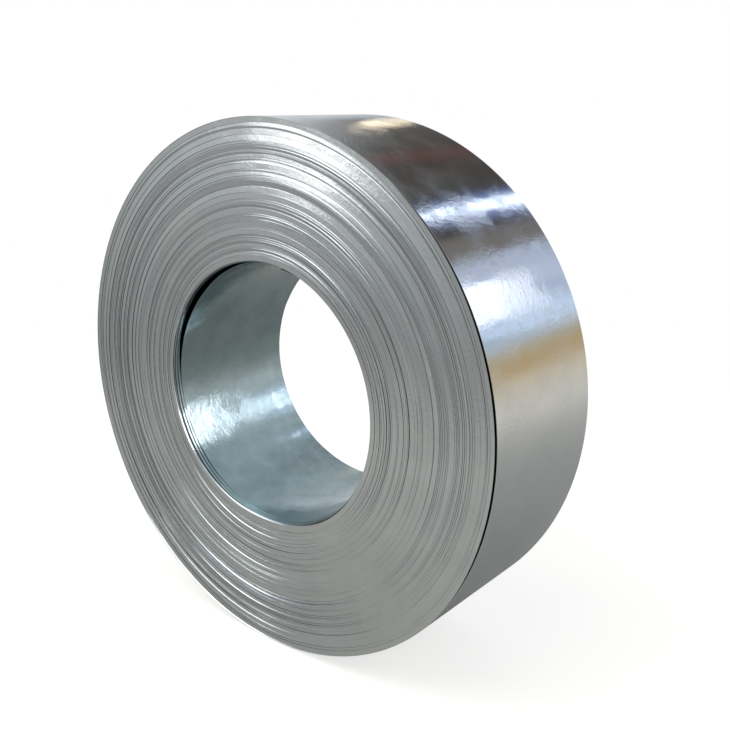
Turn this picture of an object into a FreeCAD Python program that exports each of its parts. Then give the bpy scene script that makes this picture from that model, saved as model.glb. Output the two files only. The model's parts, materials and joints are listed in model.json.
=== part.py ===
"""Slit coil: one aluminium strip wound into a roll, standing on its rim.

Millimetres, +Z up. The origin is on the floor under the middle of the coil. The winding axis
runs along Y and the front end faces -Y. Clock angles are read from the front end, clockwise
from the top, in degrees.
"""
import FreeCAD, Part
import math
import os

# Driving dimensions
OUTER_DIAMETER = 1010.0
CORE_DIAMETER = 508.0        # inside of the tight winding, as wound on a 20 inch mandrel
COIL_WIDTH = 305.0           # from the proudest turns at the front to those at the back
STRIP_THICKNESS = 0.8

# The innermost turns have let go of the winding and sprung inwards
LOOSE_TURNS_DEPTH = 13.0     # from the tight winding in to the clear bore
LOOSE_TURNS_INSET = 20.0     # from the front end to the front edge of the loose turns

# Gaps between the tight winding and its loose turns. The inner ones give the number of turns
# on their bore side, the outer one its widest opening. All give the clock angle of the
# middle, and the angle spanned.
UPPER_INNER_GAP = (2, 316.0, 66.0)
LOWER_INNER_GAP = (5, 192.0, 62.0)
OUTER_GAP = (5.0, 80.0, 86.0)

# Groups of turns, from the outside in: turns in the group, and how far it has slipped
# towards the back, in millimetres. The list starts again when it runs out.
TURN_GROUPS = [
    (31, 0.8), (3, 2.4), (9, 0.4), (2, 2.0), (12, 1.0), (4, 2.6), (6, 0.2), (3, 1.8),
    (8, 0.0), (2, 2.2), (11, 1.2), (5, 2.8), (7, 0.6), (2, 1.6), (15, 0.0), (3, 2.4),
    (6, 0.8), (4, 2.0), (10, 0.2), (2, 2.6), (13, 1.0), (3, 1.8), (17, 0.0), (2, 2.2),
    (21, 1.4), (4, 2.6), (14, 0.4), (3, 1.8),
]

OUTER_RADIUS = OUTER_DIAMETER / 2
CORE_RADIUS = CORE_DIAMETER / 2
CLEAR_BORE_RADIUS = CORE_RADIUS - LOOSE_TURNS_DEPTH
LARGEST_SLIP = max(slip for _, slip in TURN_GROUPS)
FRONT_Y = -COIL_WIDTH / 2
BACK_Y = COIL_WIDTH / 2
STRIP_WIDTH = COIL_WIDTH - LARGEST_SLIP


def turn_bands():
    """The winding as (outer radius, inner radius, slip) rings, from the outside in."""
    bands = []
    radius = OUTER_RADIUS
    group = 0
    while radius > CORE_RADIUS:
        turns, slip = TURN_GROUPS[group % len(TURN_GROUPS)]
        inner = max(radius - turns * STRIP_THICKNESS, CORE_RADIUS)
        if inner - CORE_RADIUS < STRIP_THICKNESS:
            inner = CORE_RADIUS
        bands.append((radius, inner, slip))
        radius = inner
        group += 1
    return bands


def half_section():
    """Half of the lengthwise section, as (radius, y) corners all the way round."""
    bands = turn_bands()
    corners = []
    for outer, inner, slip in bands:
        corners += [(outer, FRONT_Y + slip), (inner, FRONT_Y + slip)]
    loose_front = FRONT_Y + LOOSE_TURNS_INSET
    corners += [(CORE_RADIUS, loose_front), (CLEAR_BORE_RADIUS, loose_front)]
    corners += [(CLEAR_BORE_RADIUS, BACK_Y), (CORE_RADIUS, BACK_Y)]
    for outer, inner, slip in reversed(bands):
        back = FRONT_Y + slip + STRIP_WIDTH
        corners += [(inner, back), (outer, back)]
    return drop_repeats(corners)


def drop_repeats(corners):
    """The corners without any that repeats the one before it."""
    kept = []
    for corner in corners:
        if not kept or math.dist(corner, kept[-1]) > 1e-6:
            kept.append(corner)
    return kept


def turned_coil():
    """The half section turned about the winding axis."""
    points = [FreeCAD.Vector(radius, y, 0) for radius, y in half_section()]
    face = Part.Face(Part.makePolygon(points + points[:1]))
    return face.revolve(FreeCAD.Vector(0, 0, 0), FreeCAD.Vector(0, 1, 0), 360)


def clock_point(radius, angle, y):
    """The point at a radius and clock angle from the winding axis."""
    turn = math.radians(angle)
    return FreeCAD.Vector(radius * math.sin(turn), y, radius * math.cos(turn))


def turn_gap(wall_radius, width, middle, span):
    """The lens-shaped space inside a round wall, where the next turn in lies flatter."""
    first, last = middle - span / 2, middle + span / 2
    start = clock_point(wall_radius, first, FRONT_Y)
    end = clock_point(wall_radius, last, FRONT_Y)
    wall = Part.Arc(start, clock_point(wall_radius, middle, FRONT_Y), end)
    flatter = Part.Arc(end, clock_point(wall_radius - width, middle, FRONT_Y), start)
    face = Part.Face(Part.Wire([wall.toShape(), flatter.toShape()]))
    return face.extrude(FreeCAD.Vector(0, COIL_WIDTH, 0))


def wound_strip():
    """The whole coil with the gaps beside its loose turns."""
    coil = turned_coil()
    for turns, middle, span in (UPPER_INNER_GAP, LOWER_INNER_GAP):
        width = LOOSE_TURNS_DEPTH - turns * STRIP_THICKNESS
        coil = coil.cut(turn_gap(CORE_RADIUS, width, middle, span))
    coil = coil.cut(turn_gap(OUTER_RADIUS - STRIP_THICKNESS, *OUTER_GAP))
    coil.translate(FreeCAD.Vector(0, 0, OUTER_RADIUS))
    return coil


os.makedirs("parts", exist_ok=True)
shape = wound_strip()
print("solids", len(shape.Solids), "valid", shape.isValid(), "litres", round(shape.Volume / 1e6, 2))
shape.Solids[0].exportStep("parts/wound_strip.step")
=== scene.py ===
"""Looks of a slit coil of thin aluminium strip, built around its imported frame."""
import bpy
import json
import math
import numpy as np
import random
from mathutils import Matrix, Vector


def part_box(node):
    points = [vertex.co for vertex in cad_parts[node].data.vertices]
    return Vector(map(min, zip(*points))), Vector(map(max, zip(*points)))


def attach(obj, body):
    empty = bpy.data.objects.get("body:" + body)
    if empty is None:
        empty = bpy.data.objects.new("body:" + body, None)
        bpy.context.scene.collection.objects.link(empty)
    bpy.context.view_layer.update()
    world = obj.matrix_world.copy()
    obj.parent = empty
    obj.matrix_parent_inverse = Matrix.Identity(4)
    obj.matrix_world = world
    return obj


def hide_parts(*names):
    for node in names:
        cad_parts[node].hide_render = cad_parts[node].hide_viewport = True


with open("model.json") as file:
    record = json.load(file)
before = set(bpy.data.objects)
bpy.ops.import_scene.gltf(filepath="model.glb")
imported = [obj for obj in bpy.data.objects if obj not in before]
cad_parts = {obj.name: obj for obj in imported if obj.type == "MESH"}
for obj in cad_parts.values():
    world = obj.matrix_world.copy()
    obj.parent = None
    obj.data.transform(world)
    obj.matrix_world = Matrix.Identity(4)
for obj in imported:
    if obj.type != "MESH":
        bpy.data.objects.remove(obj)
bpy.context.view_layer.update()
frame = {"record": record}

bl_info = {
    "name": "Slit strip coil",
    "version": (1, 0, 0),
    "blender": (4, 5, 0),
    "location": "3D View > Sidebar > Strip Coil",
    "description": "Models the turns, loose ends and finishes of a coil of bright strip",
    "category": "Object",
}

MM = 0.001
NODE = "wound_strip"
BODY = "root"

# Places that come from the frame: the coil's box and its stated bore
LOW, HIGH = (Vector(corner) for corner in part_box(NODE))
OUTER_RADIUS = (HIGH.x - LOW.x) / 2
FRONT_Y, BACK_Y = LOW.y, HIGH.y
WIDTH = BACK_Y - FRONT_Y
BORE = next(mount for mount in frame["record"]["mounts"] if mount["name"] == "mandrel_bore")
AXIS_Z = BORE["pos_m"][2]
LOOSE_INSET = WIDTH - BORE["dims"]["length_mm"] * MM
FULL_TURN = 2 * math.pi

FLAT_LIMIT = math.radians(28)   # edges bent by less than this shade smooth
END_FACING = 0.6                # faces that look along the winding axis by more are slit edges


class CoilSizes(bpy.types.PropertyGroup):
    """Sizes of the winding and of its loose turns."""

    core_radius: bpy.props.FloatProperty(
        name="Core radius", description="Inside of the tight winding",
        default=254 * MM, unit="LENGTH")
    strip_thickness: bpy.props.FloatProperty(
        name="Strip thickness", description="Thickness of the rolled strip",
        default=0.8 * MM, unit="LENGTH", precision=5)
    deepest_slip: bpy.props.FloatProperty(
        name="Deepest slip", description="How far the most recessed turns sit back",
        default=4.6 * MM, unit="LENGTH", precision=5)
    edge_wave: bpy.props.FloatProperty(
        name="Edge wave", description="How far a group of turns wanders in and out",
        default=1.5 * MM, unit="LENGTH", precision=5)
    end_groups: bpy.props.IntProperty(
        name="End groups", description="Groups of turns that show on each end",
        default=84, min=8)
    segments: bpy.props.IntProperty(
        name="Segments", description="Flats round the winding", default=192, min=48)
    bore_sag: bpy.props.FloatProperty(
        name="Bore sag", description="How far the tight turns sag into the bore", unit="LENGTH",
        default=8.0 * MM)
    outer_gap: bpy.props.FloatProperty(
        name="Outer gap", description="Widest opening under the outermost turn",
        default=5.0 * MM, unit="LENGTH", precision=5)


class CoilColours(bpy.types.PropertyGroup):
    """Colours of the metal and of the studio, as sRGB."""

    strip_face: bpy.props.StringProperty(
        name="Strip face", description="Bright rolled aluminium", default="#DDE0E3")
    slit_edge: bpy.props.StringProperty(
        name="Slit edge", description="Sheared edges of the strip", default="#D2D1CC")
    # Painted shade: the seam colour is the dark of the gaps between groups of turns, where shade
    # falls.
    seam: bpy.props.StringProperty(
        name="Seam", description="Open seam between two turns", default="#34383A")
    # Painted shade with random tone: the dark end of the ring streaks on the slit edges stands for
    # the shade of set-back turns.
    ring_tone_and_shade: bpy.props.StringProperty(
        name="Edge shade", description="Edges dulled by slitting oil", default="#858985")
    # Painted reflection: the blue tint of the bore-side face and its darker patch colour stand for
    # the blue and dark reflections in the bore.
    reflection_tinted_inner_face: bpy.props.StringProperty(
        name="Inner face", description="Rolled aluminium under a film of oil",
        default="#B4C3C8")
    floor: bpy.props.StringProperty(
        name="Floor", description="Studio floor", default="#A8A6A0")


# ---------------------------------------------------------------- helpers

def linear_colour(text):
    """An sRGB hex value as a linear RGBA colour."""
    values = [int(text[i:i + 2], 16) / 255 for i in (1, 3, 5)]
    return [v / 12.92 if v <= 0.04045 else ((v + 0.055) / 1.055) ** 2.4 for v in values] + [1.0]


def add_node(tree, kind, settings=None, **links):
    """A node with its settings, and its inputs linked to sockets or set to values."""
    node = tree.nodes.new(kind)
    for name, value in (settings or {}).items():
        setattr(node, name, value)
    for name, value in links.items():
        key = int(name[1:]) if name[0] == "i" and name[1:].isdigit() else name.replace("_", " ")
        socket = node.inputs[key]
        if isinstance(value, bpy.types.NodeSocket):
            tree.links.new(value, socket)
        else:
            socket.default_value = value
    return node


def start_clean():
    """Leave edit mode and deselect everything."""
    if bpy.context.object and bpy.context.object.mode != "OBJECT":
        bpy.ops.object.mode_set(mode="OBJECT")
    bpy.ops.object.select_all(action="DESELECT")


def start_at_point(point):
    """A new mesh object in edit mode that is one selected point."""
    start_clean()
    bpy.ops.mesh.primitive_plane_add(size=MM, location=point)
    bpy.ops.object.transform_apply(location=True, rotation=True, scale=True)
    bpy.ops.object.mode_set(mode="EDIT")
    bpy.ops.mesh.select_all(action="SELECT")
    bpy.ops.mesh.merge(type="CENTER")
    return bpy.context.object


def extrude_to(steps):
    """Extrude the selection by each step in turn."""
    for step in steps:
        bpy.ops.mesh.extrude_region_move(TRANSFORM_OT_translate={"value": step})


def extrude_path(points):
    """Extrude one selected point along the points after the first."""
    extrude_to([b - a for a, b in zip(points, points[1:])])


def tidy_shell(merge=0.02 * MM):
    """Close seams, point the faces outwards and go back to object mode."""
    bpy.ops.mesh.select_all(action="SELECT")
    bpy.ops.mesh.remove_doubles(threshold=merge)
    bpy.ops.mesh.normals_make_consistent(inside=False)
    bpy.ops.object.mode_set(mode="OBJECT")


def apply_modifier(piece, kind, **settings):
    """Add a modifier with its settings and apply it."""
    modifier = piece.modifiers.new(kind.title(), kind)
    for name, value in settings.items():
        setattr(modifier, name, value)
    bpy.context.view_layer.objects.active = piece
    bpy.ops.object.modifier_apply(modifier=modifier.name)


def at_clock(radius, angle, y):
    """The point at a radius and clock angle, in radians, from the winding axis."""
    return Vector((radius * math.sin(angle), y, AXIS_Z + radius * math.cos(angle)))


def dress(piece, name, materials):
    """Name a finished piece, give it its materials and tie it to the frame."""
    piece.name = name
    piece.data.name = name
    piece.data.materials.clear()
    for material in materials:
        piece.data.materials.append(material)
    bpy.ops.object.select_all(action="DESELECT")
    piece.select_set(True)
    bpy.context.view_layer.objects.active = piece
    bpy.ops.object.shade_smooth_by_angle(angle=FLAT_LIMIT)
    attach(piece, BODY)
    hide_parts(NODE)


# ---------------------------------------------------------------- materials

def round_space(tree):
    """Object coordinates moved to the winding axis, the radius and the outward direction."""
    place = add_node(tree, "ShaderNodeTexCoord")
    centred = add_node(tree, "ShaderNodeMapping", Vector=place.outputs["Object"],
                       Location=(0, 0, -AXIS_Z))
    flat = add_node(tree, "ShaderNodeVectorMath", {"operation": "MULTIPLY"},
                    i0=centred.outputs[0], i1=(1, 0, 1))
    radius = add_node(tree, "ShaderNodeVectorMath", {"operation": "LENGTH"}, i0=flat.outputs[0])
    outward = add_node(tree, "ShaderNodeVectorMath", {"operation": "NORMALIZE"},
                       i0=flat.outputs[0])
    return centred.outputs[0], radius.outputs["Value"], outward.outputs[0]


def ring_noise(tree, radius, outward, pitch, wander, detail=2.0, rough=0.6):
    """Noise in thin rings: one streak per pitch along the radius, slowly changing round."""
    streak = add_node(tree, "ShaderNodeMath", {"operation": "MULTIPLY"}, i0=radius, i1=1 / pitch)
    stack = add_node(tree, "ShaderNodeCombineXYZ", Y=streak.outputs[0])
    slow = add_node(tree, "ShaderNodeVectorMath", {"operation": "SCALE"}, i0=outward, Scale=wander)
    spot = add_node(tree, "ShaderNodeVectorMath", {"operation": "ADD"},
                    i0=stack.outputs[0], i1=slow.outputs[0])
    return add_node(tree, "ShaderNodeTexNoise", Vector=spot.outputs[0], Scale=1.0,
                    Detail=detail, Roughness=rough).outputs["Fac"]


def new_material(name):
    """An empty material, its node tree and its shader."""
    material = bpy.data.materials.new(name)
    material.use_nodes = True
    tree = material.node_tree
    tree.nodes.clear()
    shader = add_node(tree, "ShaderNodeBsdfPrincipled")
    add_node(tree, "ShaderNodeOutputMaterial", Surface=shader.outputs[0])
    return material, tree, shader


# Spacing along the radius of the lines on the slit edges
FINE_PITCH = 2.2 * MM
SEAM_PITCH = 6.5 * MM
BROAD_PITCH = 11 * MM


def slit_edges(colours):
    """Sheared aluminium edges, stacked turn on turn.

    Each edge is a fine matte line round the coil, so the end shines as a turned disc does,
    in two opposite fans. Turns are 0.8 mm apart, and single ones are too fine to show: the
    fine lines are drawn 2 to 3 mm apart, and the open seams that part groups of turns 6 to
    7 mm apart. The seams are drawn in a dark colour that paints the shade in their gaps, and
    the streaks between them run down to a painted shade of set-back turns.
    """
    material, tree, shader = new_material("slit_aluminium_edges")
    _, radius, outward = round_space(tree)
    fine = ring_noise(tree, radius, outward, FINE_PITCH, 2.0, 3.0)
    broad = ring_noise(tree, radius, outward, BROAD_PITCH, 1.6)
    seams = ring_noise(tree, radius, outward, SEAM_PITCH, 1.0, 1.0)
    mix = add_node(tree, "ShaderNodeMath", {"operation": "MULTIPLY_ADD"},
                   i0=fine, i1=0.75, i2=0.0)
    both = add_node(tree, "ShaderNodeMath", {"operation": "MULTIPLY_ADD"},
                    i0=broad, i1=0.45, i2=mix.outputs[0])
    # The ring streaks run from the painted shade of set-back turns, mixed with random tone, up to
    # the edge colour.
    ramp = add_node(tree, "ShaderNodeValToRGB", Fac=both.outputs[0])
    ramp.color_ramp.elements[0].position = 0.36
    ramp.color_ramp.elements[0].color = linear_colour(colours.ring_tone_and_shade)
    ramp.color_ramp.elements[1].position = 0.60
    ramp.color_ramp.elements[1].color = linear_colour(colours.slit_edge)
    # Painted shade: the seams between groups of turns are drawn in the dark seam colour, and also
    # bumped as grooves.
    shaded_seam_lines = add_node(tree, "ShaderNodeMapRange", Value=seams, From_Min=0.385, From_Max=0.425)
    lined = add_node(tree, "ShaderNodeMixRGB", Fac=shaded_seam_lines.outputs[0],
                     Color1=linear_colour(colours.seam), Color2=ramp.outputs["Color"])
    tree.links.new(lined.outputs[0], shader.inputs["Base Color"])
    rough = add_node(tree, "ShaderNodeMapRange", Value=both.outputs[0], To_Min=0.60, To_Max=0.46)
    tree.links.new(rough.outputs[0], shader.inputs["Roughness"])
    groove = add_node(tree, "ShaderNodeBump", Strength=0.7, Distance=1.2 * MM,
                      Height=shaded_seam_lines.outputs[0])
    bump = add_node(tree, "ShaderNodeBump", Strength=0.8, Distance=0.5 * MM, Height=fine,
                    Normal=groove.outputs[0])
    tree.links.new(bump.outputs[0], shader.inputs["Normal"])
    tree.links.new(outward, shader.inputs["Tangent"])
    shader.inputs["Metallic"].default_value = 1.0
    shader.inputs["Anisotropic"].default_value = 0.7
    return material


# Sizes of the marks on the rolled face: scuffs, dull patches and shallow swells
SCUFF_SIZE = 7 * MM
PATCH_SIZE = 70 * MM
SWELL_SIZE = 55 * MM
SCUFF_DEPTH = 0.4 * MM
SWELL_DEPTH = 0.9 * MM


def rolled_face(name, light, dark, clear, dull, dents, scuffs, grain):
    """Bright mill-rolled aluminium: a clear but slightly smeared mirror.

    The rolls leave fine lines along the strip, and grain is how far they stretch highlights
    across it. Handling leaves a mottle of scuffs a few millimetres across, stronger in
    patches, that breaks up the edges of reflections. Clear and dull are the roughness
    between and in those patches, and dents is how much the sheet swells. Light and dark are
    the colours between and in the patches; on the bore side they are a blue tint and darker
    patches that paint reflection.
    """
    material, tree, shader = new_material(name)
    place, _, _ = round_space(tree)
    mottle = add_node(tree, "ShaderNodeTexNoise", Vector=place, Scale=1 / SCUFF_SIZE, Detail=5.0,
                      Roughness=0.65)
    patches = add_node(tree, "ShaderNodeTexNoise", Vector=place, Scale=1 / PATCH_SIZE, Detail=3.0,
                       Roughness=0.6)
    swell = add_node(tree, "ShaderNodeTexNoise", Vector=place, Scale=1 / SWELL_SIZE, Detail=2.5)
    tone = add_node(tree, "ShaderNodeMixRGB", Fac=patches.outputs["Fac"],
                    Color1=linear_colour(light), Color2=linear_colour(dark))
    tree.links.new(tone.outputs[0], shader.inputs["Base Color"])
    rough = add_node(tree, "ShaderNodeMapRange", Value=patches.outputs["Fac"],
                     From_Min=0.35, From_Max=0.7, To_Min=clear, To_Max=dull)
    tree.links.new(rough.outputs[0], shader.inputs["Roughness"])
    wide = add_node(tree, "ShaderNodeBump", Strength=dents, Distance=SWELL_DEPTH,
                    Height=swell.outputs["Fac"])
    worn = add_node(tree, "ShaderNodeMapRange", Value=patches.outputs["Fac"],
                    From_Min=0.4, From_Max=0.62, To_Min=0.25 * scuffs, To_Max=scuffs)
    near = add_node(tree, "ShaderNodeBump", Strength=worn.outputs[0], Distance=SCUFF_DEPTH,
                    Height=mottle.outputs["Fac"], Normal=wide.outputs[0])
    tree.links.new(near.outputs[0], shader.inputs["Normal"])
    across = add_node(tree, "ShaderNodeCombineXYZ", Y=1.0)
    tree.links.new(across.outputs[0], shader.inputs["Tangent"])
    shader.inputs["Metallic"].default_value = 1.0
    shader.inputs["Anisotropic"].default_value = grain
    return material


def coil_finishes(colours):
    """The finishes of the coil: outer strip face, bore-side strip face and slit edges."""
    names = ("mill_rolled_aluminium", "reflection_tinted_bore_aluminium", "slit_aluminium_edges")
    made = {name: bpy.data.materials.get(name) for name in names}
    if not all(made.values()):
        made[names[0]] = rolled_face(names[0], colours.strip_face, "#C9CED2", 0.10, 0.18,
                                     0.03, 0.9, 0.35)
        # Painted reflection: on the bore side the blue tint and the darker patch colour paint its
        # blue and dark reflections.
        made[names[1]] = rolled_face(names[1], colours.reflection_tinted_inner_face, "#7F9094", 0.10, 0.19,
                                     0.9, 1.0, 0.0)
        made[names[2]] = slit_edges(colours)
    return [made[name] for name in names]


def assign_ends(piece):
    """Give the faces that look along the winding axis the slit-edge finish."""
    for face in piece.data.polygons:
        if abs(face.normal.y) > END_FACING:
            face.material_index = 1


# ---------------------------------------------------------------- pieces

def turn_groups(sizes):
    """Groups of turns from the outside in: outer and inner radius, and the slip at each.

    Wide groups lie near the end plane and narrow ones sit back as grooves. The turns of a
    group slip a little further one after the other, so its end leans in or out.
    """
    draw = random.Random(12)
    outside = OUTER_RADIUS - sizes.strip_thickness
    weights = [draw.uniform(0.5, 1.1) if group % 2 else draw.choice((0.8, 1.4, 2.4, 5.0))
               for group in range(sizes.end_groups)]
    scale = (outside - sizes.core_radius) / sum(weights)
    groups = []
    radius = outside
    for group, weight in enumerate(weights):
        inner = radius - weight * scale
        share = draw.uniform(0.3, 1.0) if group % 2 else draw.uniform(0.0, 0.2)
        lean = draw.uniform(-0.16, 0.16) * weight * scale
        slip = share * sizes.deepest_slip
        limits = (0.0, sizes.deepest_slip)
        groups.append((radius, inner, float(np.clip(slip - lean / 2, *limits)),
                       float(np.clip(slip + lean / 2, *limits))))
        radius = inner
    return groups


def edge_waves(count, angles, groups):
    """How far each group of turns wanders along the axis at each angle, from 0 to 1."""
    draw = random.Random(5)
    total = np.zeros_like(angles)
    for cycles, share in ((1, 0.30), (2, 0.28), (3, 0.20), (5, 0.14), (9, 0.08)):
        phases = np.array([draw.uniform(0, FULL_TURN) for _ in range(count)])
        total += share * np.sin(cycles * angles + phases[groups])
    return 0.5 + 0.5 * total


class COIL_OT_winding(bpy.types.Operator):
    """Turn the tight winding, with every group of turns stepped on both ends"""

    bl_idname = "coil.winding"
    bl_label = "Tight winding"

    def execute(self, context):
        sizes = context.scene.coil_sizes
        groups = turn_groups(sizes)
        front, back = [], []
        behind = BACK_Y - sizes.deepest_slip - sizes.edge_wave
        for outer, inner, first, last in groups:
            front += [(outer, FRONT_Y + first), (inner, FRONT_Y + last)]
            back += [(outer, behind + first), (inner, behind + last)]
        wall = [(front[-1][0], y) for y in (FRONT_Y / 2, 0.0, BACK_Y / 2)]
        skin = [(front[0][0], y) for y in (BACK_Y / 2, 0.0, FRONT_Y / 2)]
        section = front + wall + back[::-1] + skin
        corners = [Vector((radius, y, AXIS_Z)) for radius, y in section + section[:1]]
        winding = start_at_point(corners[0])
        extrude_path(corners)
        bpy.ops.mesh.select_all(action="SELECT")
        bpy.ops.mesh.spin(steps=sizes.segments, angle=FULL_TURN, center=(0, 0, AXIS_Z),
                          axis=(0, 1, 0))
        tidy_shell()
        self.shape_ends(winding, front + back, sizes)
        assign_ends(winding)
        face, _, edges = coil_finishes(context.scene.coil_colours)
        dress(winding, "tight_winding", (face, edges))
        return {"FINISHED"}

    def shape_ends(self, winding, rims, sizes):
        """Let every group of turns wander along the axis, and flatten the winding
        where the outermost turn stands off."""
        places = np.empty(len(winding.data.vertices) * 3, dtype=np.float32)
        winding.data.vertices.foreach_get("co", places)
        places = places.reshape(-1, 3)
        rise = places[:, 2] - AXIS_Z
        radii, angles = np.hypot(places[:, 0], rise), np.arctan2(places[:, 0], rise)
        on_end = np.abs(places[:, 1]) > WIDTH * 0.4
        table = np.array(rims, dtype=np.float32)
        ends = places[on_end][:, 1]
        nearest = np.argmin(np.abs(radii[on_end][:, None] - table[None, :, 0])
                            + np.abs(ends[:, None] - table[None, :, 1]), axis=1)
        groups = (nearest % (len(rims) // 2)) // 2
        waves = edge_waves(len(rims) // 4, angles[on_end], groups)
        places[on_end, 1] += waves * sizes.edge_wave
        soft = OUTER_RADIUS - SOFT_DEPTH
        share = np.clip((radii - soft) / SOFT_DEPTH, 0, 1)
        clear = np.array([table_value(math.degrees(angle) % 360, OUTER_STAND_OFF)
                          for angle in angles])
        radii = radii - share * clear * sizes.outer_gap
        share = np.clip(1 - (radii - sizes.core_radius) / SOFT_DEPTH, 0, 1)
        sag = np.array([table_value(math.degrees(angle) % 360, BORE_SAG) for angle in angles])
        radii = radii - share * sag * sizes.bore_sag
        places[:, 0] = radii * np.sin(angles)
        places[:, 2] = AXIS_Z + radii * np.cos(angles)
        winding.data.vertices.foreach_set("co", places.ravel())
        winding.data.update()


# How deep into the winding the turns give way under the gap of the outermost turn
SOFT_DEPTH = 26 * MM

# Where the outermost turn stands clear: clock angle in degrees and share of the widest gap
OUTER_STAND_OFF = [(0, 0), (34, 0), (40, 0.35), (60, 0.75), (82, 1.0), (104, 0.85), (122, 0.2),
                   (130, 0), (360, 0)]

# How the loose turns lie: clock angle in degrees and radius as a share of the outer radius.
# The list runs from the free inner end, three times round, out to the tight winding. The
# innermost turn has a crease at 298 degrees.
LOOSE_PATH = [
    (8, 0.4830), (40, 0.4862), (80, 0.4900), (120, 0.4945), (148, 0.4938), (160, 0.4900),
    (172, 0.4852), (180, 0.4836), (192, 0.4830), (204, 0.4842), (219, 0.4880), (240, 0.4925),
    (263, 0.4935), (284, 0.4868), (294, 0.4838), (298, 0.4812), (302, 0.4800), (309, 0.4782),
    (317, 0.4782), (325, 0.4808), (335, 0.4855), (345, 0.4905), (355, 0.4935),
    (375, 0.4950), (420, 0.4965), (480, 0.4975), (506, 0.4958), (520, 0.4916), (534, 0.4864),
    (552, 0.4850), (570, 0.4895), (585, 0.4940), (600, 0.4952), (630, 0.4958), (660, 0.4985),
    (690, 0.5000), (715, 0.4998), (735, 0.4990), (765, 0.4992), (810, 0.5002), (864, 0.4980),
    (880, 0.4932), (894, 0.4878), (912, 0.4868), (930, 0.4930), (945, 0.4978), (960, 0.4988),
    (1000, 0.4992), (1060, 0.5012), (1090, 0.5014),
]

# Where the tight turns sag into the bore: clock angle in degrees and share of the sag
BORE_SAG = [(0, 0), (140, 0), (150, 0.15), (163, 0.6), (178, 1.0), (190, 0.92), (206, 0.4),
            (220, 0), (360, 0)]

LOOSE_STEP = 2.0            # degrees of winding between two points of the loose turns
LOOSE_LANES = 12            # strips of faces across the width of the loose turns
LOOSE_BACK_INSET = 1.0 * MM
INSET_FALL = 0.8            # the outermost loose turn sits forward by this share of the inset

OUTER_FRONT_INSET = 0.6 * MM
OUTER_BACK_INSET = 1.2 * MM


def table_value(place, table):
    """The value at a place in degrees on the smooth curve through a table's rows."""
    last = len(table) - 1
    index = max([i for i in range(last) if table[i][0] <= place], default=0)
    before, start = table[max(index - 1, 0)], table[index]
    end, after = table[index + 1], table[min(index + 2, last)]
    span = end[0] - start[0]
    t = (place - start[0]) / span
    leave = (end[1] - before[1]) / (end[0] - before[0]) * span
    arrive = (after[1] - start[1]) / (after[0] - start[0]) * span
    return ((2 * t**3 - 3 * t**2 + 1) * start[1] + (t**3 - 2 * t**2 + t) * leave
            + (3 * t**2 - 2 * t**3) * end[1] + (t**3 - t**2) * arrive)


class COIL_OT_loose_inner_turns(bpy.types.Operator):
    """Lay the innermost turns, which have sprung loose inside the bore"""

    bl_idname = "coil.loose_inner_turns"
    bl_label = "Loose inner turns"

    def execute(self, context):
        sizes = context.scene.coil_sizes
        first, last = LOOSE_PATH[0][0], LOOSE_PATH[-1][0]
        count = int((last - first) / LOOSE_STEP)
        points = []
        for index in range(count + 1):
            place = first + (last - first) * index / count
            radius = table_value(place, LOOSE_PATH) * OUTER_RADIUS
            inset = LOOSE_INSET * (1 - INSET_FALL * (place - first) / (last - first))
            points.append(at_clock(radius, math.radians(place), FRONT_Y + inset))
        turns = start_at_point(points[0])
        extrude_path(points)
        bpy.ops.mesh.select_all(action="SELECT")
        length = WIDTH - LOOSE_BACK_INSET - LOOSE_INSET
        extrude_to([Vector((0, length / LOOSE_LANES, 0))] * LOOSE_LANES)
        tidy_shell()
        apply_modifier(turns, "SOLIDIFY", thickness=sizes.strip_thickness, offset=0.0)
        assign_ends(turns)
        _, reflection_tinted_inner_face, edges = coil_finishes(context.scene.coil_colours)
        dress(turns, "loose_inner_turns", (reflection_tinted_inner_face, edges))
        return {"FINISHED"}


class COIL_OT_outer_turn(bpy.types.Operator):
    """Wrap the outermost turn, which stands off the winding on one side"""

    bl_idname = "coil.outer_turn"
    bl_label = "Outermost turn"

    def execute(self, context):
        sizes = context.scene.coil_sizes
        start_clean()
        outer, inner = OUTER_RADIUS, OUTER_RADIUS - sizes.strip_thickness
        near, far = FRONT_Y + OUTER_FRONT_INSET, BACK_Y - OUTER_BACK_INSET
        corners = [Vector((radius, y, AXIS_Z)) for radius, y in (
            (outer, near), (outer, FRONT_Y / 2), (outer, 0), (outer, BACK_Y / 2), (outer, far),
            (inner, far), (inner, 0), (inner, near), (outer, near))]
        turn = start_at_point(corners[0])
        extrude_path(corners)
        bpy.ops.mesh.select_all(action="SELECT")
        bpy.ops.mesh.spin(steps=sizes.segments * 2, angle=FULL_TURN, center=(0, 0, AXIS_Z),
                          axis=(0, 1, 0))
        tidy_shell()
        assign_ends(turn)
        face, _, edges = coil_finishes(context.scene.coil_colours)
        dress(turn, "outermost_turn", (face, edges))
        return {"FINISHED"}


# ---------------------------------------------------------------- stage

# The camera: its place from the middle of the front end in outer radii, and its direction
CAMERA_FROM_FRONT = Vector((2.344, -2.282, 1.035))
CAMERA_TURN = math.radians(39.15)
CAMERA_DIP = math.radians(15.64)
CAMERA_LENS = 45.8

FLOOR_SIZE = 30.0
FLOOR_FADE = (0.9, 3.2)   # metres from the middle where the floor starts and ends to fade
FLOOR_LIFT = 0.70         # light added to the floor as the camera sees it, to keep it pale

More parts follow.
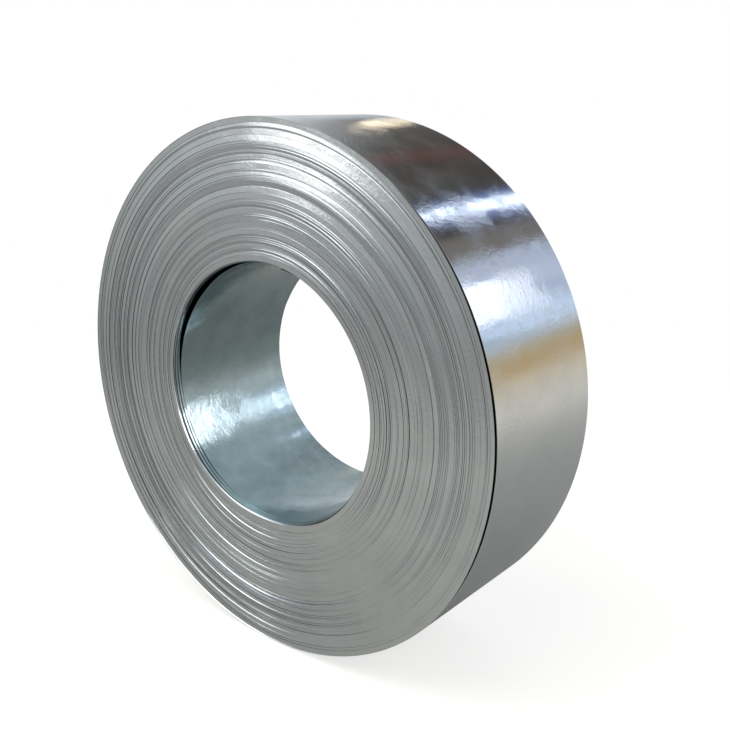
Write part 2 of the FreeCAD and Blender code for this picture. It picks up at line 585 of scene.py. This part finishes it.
# Soft panels: direction as clock angle and angle off the winding axis (in degrees, 180 off the
# axis is straight out of the front end), distance, size round the axis and size away from it
# in metres, brightness and colour
PANELS = {
    "overhead": ((-12, 118), 3.0, 4.0, 2.2, 2.2, "#FFFDF8"),
    "front_tall": ((-36, 132), 3.0, 2.6, 2.2, 1.4, "#FFFDF8"),
    "window_right": ((58, 42), 4.2, 0.75, 0.4, 2.8, "#F6F9FF"),
    "window_haze": ((56, 37), 4.3, 1.6, 1.2, 0.62, "#C4DAFF"),
    "wall_haze": ((41, 33), 4.5, 1.3, 1.8, 0.17, "#D8CFC6"),
    "tube_back": ((16, 32), 4.0, 0.15, 1.5, 4.0, "#E4EEFF"),
    "tube_haze": ((16, 32), 4.1, 0.62, 1.6, 0.35, "#6F9BEA"),
    "window_far": ((-52, 39), 4.4, 0.4, 0.3, 2.2, "#FFEBCB"),
    "red_haze": ((-18, 39), 4.4, 0.35, 0.9, 0.14, "#B04038"),
    "window_low": ((60, 58), 4.2, 2.4, 0.8, 6.5, "#FFFFFF"),
}

# What the metal reflects, by height from straight down (0) to straight up (1): the hall all
# round, and its far end, which is dark above
HALL_BANDS = [(0.0, "#8E8D88"), (0.38, "#9A9B98"), (0.47, "#B4B5B2"), (0.53, "#CBCDCC"),
              (0.66, "#C6CACC"), (1.0, "#A8B2B6")]
FAR_END_BANDS = [(0.0, "#B4B2AC"), (0.42, "#C4BFB6"), (0.47, "#C2B59E"), (0.495, "#AE9670"),
                 (0.53, "#AC9A76"), (0.56, "#A9B8C6"), (0.585, "#9AA6B0"), (0.62, "#5A5652"),
                 (0.78, "#403B37"), (1.0, "#55524E")]


class COIL_OT_stage(bpy.types.Operator):
    """Set the pale floor, the soft studio light and the camera"""

    bl_idname = "coil.stage"
    bl_label = "Studio stage"

    def execute(self, context):
        self.floor(context.scene.coil_colours)
        self.surroundings()
        centre = Vector((0, 0, AXIS_Z))
        for name, ((clock, off), distance, width, height, glow, colour) in PANELS.items():
            clock, off = math.radians(clock), math.radians(off)
            away = Vector((math.sin(off) * math.sin(clock), math.cos(off),
                           math.sin(off) * math.cos(clock)))
            round_axis = Vector((math.cos(clock), 0, -math.sin(clock)))
            facing = Matrix((round_axis, away.cross(round_axis), away)).transposed()
            start_clean()
            bpy.ops.object.light_add(type="AREA", location=centre + away * distance)
            light = context.object
            light.name = name
            light.rotation_euler = facing.to_euler()
            light.data.shape = "RECTANGLE"
            light.data.size = width
            light.data.size_y = height
            light.data.energy = glow * math.pi * width * height
            light.data.color = linear_colour(colour)[:3]
            light.visible_camera = False
        start_clean()
        front = Vector((0, FRONT_Y, AXIS_Z))
        bpy.ops.object.camera_add(location=front + CAMERA_FROM_FRONT * OUTER_RADIUS,
                                  rotation=(math.pi / 2 - CAMERA_DIP, 0, CAMERA_TURN))
        context.object.data.lens = CAMERA_LENS
        context.scene.camera = context.object
        context.scene.view_settings.view_transform = "Standard"
        return {"FINISHED"}

    def floor(self, colours):
        """A pale matte floor that fades into the surroundings far from the coil."""
        start_clean()
        bpy.ops.mesh.primitive_plane_add(size=FLOOR_SIZE, location=(0, 0, 0))
        floor = bpy.context.object
        floor.name = "studio_floor"
        material = bpy.data.materials.new("matte_studio_floor")
        material.use_nodes = True
        tree = material.node_tree
        tree.nodes.clear()
        place = add_node(tree, "ShaderNodeTexCoord")
        away = add_node(tree, "ShaderNodeVectorMath", {"operation": "LENGTH"},
                        i0=place.outputs["Object"])
        fade = add_node(tree, "ShaderNodeMapRange", {"interpolation_type": "SMOOTHSTEP"},
                        Value=away.outputs["Value"], From_Min=FLOOR_FADE[0],
                        From_Max=FLOOR_FADE[1])
        matte = add_node(tree, "ShaderNodeBsdfDiffuse", Color=linear_colour(colours.floor))
        ray = add_node(tree, "ShaderNodeLightPath")
        lift = add_node(tree, "ShaderNodeMath", {"operation": "MULTIPLY"},
                        i0=ray.outputs["Is Camera Ray"], i1=FLOOR_LIFT)
        glow = add_node(tree, "ShaderNodeEmission", Strength=lift.outputs[0])
        lit = add_node(tree, "ShaderNodeAddShader", i0=matte.outputs[0], i1=glow.outputs[0])
        clear = add_node(tree, "ShaderNodeBsdfTransparent")
        mix = add_node(tree, "ShaderNodeMixShader", Fac=fade.outputs[0], i1=lit.outputs[0],
                       i2=clear.outputs[0])
        add_node(tree, "ShaderNodeOutputMaterial", Surface=mix.outputs[0])
        floor.data.materials.append(material)

    def surroundings(self):
        """Soft surroundings: white to the camera, a dim hall to the metal."""
        world = bpy.data.worlds.new("studio")
        bpy.context.scene.world = world
        world.use_nodes = True
        tree = world.node_tree
        tree.nodes.clear()
        place = add_node(tree, "ShaderNodeTexCoord")
        parts = add_node(tree, "ShaderNodeSeparateXYZ", Vector=place.outputs["Generated"])
        height = add_node(tree, "ShaderNodeMapRange", Value=parts.outputs["Z"], From_Min=-1.0,
                          From_Max=1.0)
        hall = self.bands(tree, height.outputs[0], HALL_BANDS)
        far_end = self.bands(tree, height.outputs[0], FAR_END_BANDS)
        behind = add_node(tree, "ShaderNodeMapRange", {"interpolation_type": "SMOOTHSTEP"},
                          Value=parts.outputs["Y"], From_Min=0.68, From_Max=0.80)
        seen = add_node(tree, "ShaderNodeMixRGB", Fac=behind.outputs[0],
                        Color1=hall.outputs["Color"], Color2=far_end.outputs["Color"])
        ray = add_node(tree, "ShaderNodeLightPath")
        level = add_node(tree, "ShaderNodeMapRange", Value=parts.outputs["Y"], From_Min=-0.5,
                         From_Max=0.5, To_Min=0.95, To_Max=1.35)
        dim = add_node(tree, "ShaderNodeBackground", Color=seen.outputs[0],
                       Strength=level.outputs[0])
        white = add_node(tree, "ShaderNodeBackground", Color=(1, 1, 1, 1), Strength=1.0)
        mix = add_node(tree, "ShaderNodeMixShader", Fac=ray.outputs["Is Camera Ray"],
                       i1=dim.outputs[0], i2=white.outputs[0])
        add_node(tree, "ShaderNodeOutputWorld", Surface=mix.outputs[0])

    def bands(self, tree, height, stops):
        """A ramp of colours by height, from straight down at 0 to straight up at 1."""
        ramp = add_node(tree, "ShaderNodeValToRGB", Fac=height)
        elements = ramp.color_ramp.elements
        elements[1].position = stops[-1][0]
        for position, _ in stops[1:-1]:
            elements.new(position)
        for element, (_, colour) in zip(elements, stops):
            element.color = linear_colour(colour)
        return ramp


class COIL_PT_panel(bpy.types.Panel):
    """Lists the pieces of the coil in the sidebar"""

    bl_idname = "COIL_PT_panel"
    bl_label = "Strip coil"
    bl_space_type = "VIEW_3D"
    bl_region_type = "UI"
    bl_category = "Strip Coil"

    def draw(self, context):
        for name in CoilSizes.__annotations__:
            self.layout.prop(context.scene.coil_sizes, name)
        for name in CoilColours.__annotations__:
            self.layout.prop(context.scene.coil_colours, name)
        for operator in OPERATORS:
            self.layout.operator(operator.bl_idname)


OPERATORS = (COIL_OT_winding, COIL_OT_loose_inner_turns, COIL_OT_outer_turn, COIL_OT_stage)
CLASSES = (CoilSizes, CoilColours) + OPERATORS + (COIL_PT_panel,)


def register():
    for entry in CLASSES:
        bpy.utils.register_class(entry)
    bpy.types.Scene.coil_sizes = bpy.props.PointerProperty(type=CoilSizes)
    bpy.types.Scene.coil_colours = bpy.props.PointerProperty(type=CoilColours)


def unregister():
    del bpy.types.Scene.coil_colours
    del bpy.types.Scene.coil_sizes
    for entry in reversed(CLASSES):
        bpy.utils.unregister_class(entry)


def main():
    """Build every piece and the stage."""
    register()
    bpy.ops.coil.winding()
    bpy.ops.coil.loose_inner_turns()
    bpy.ops.coil.outer_turn()
    bpy.ops.coil.stage()


if __name__ == "__main__":
    main()
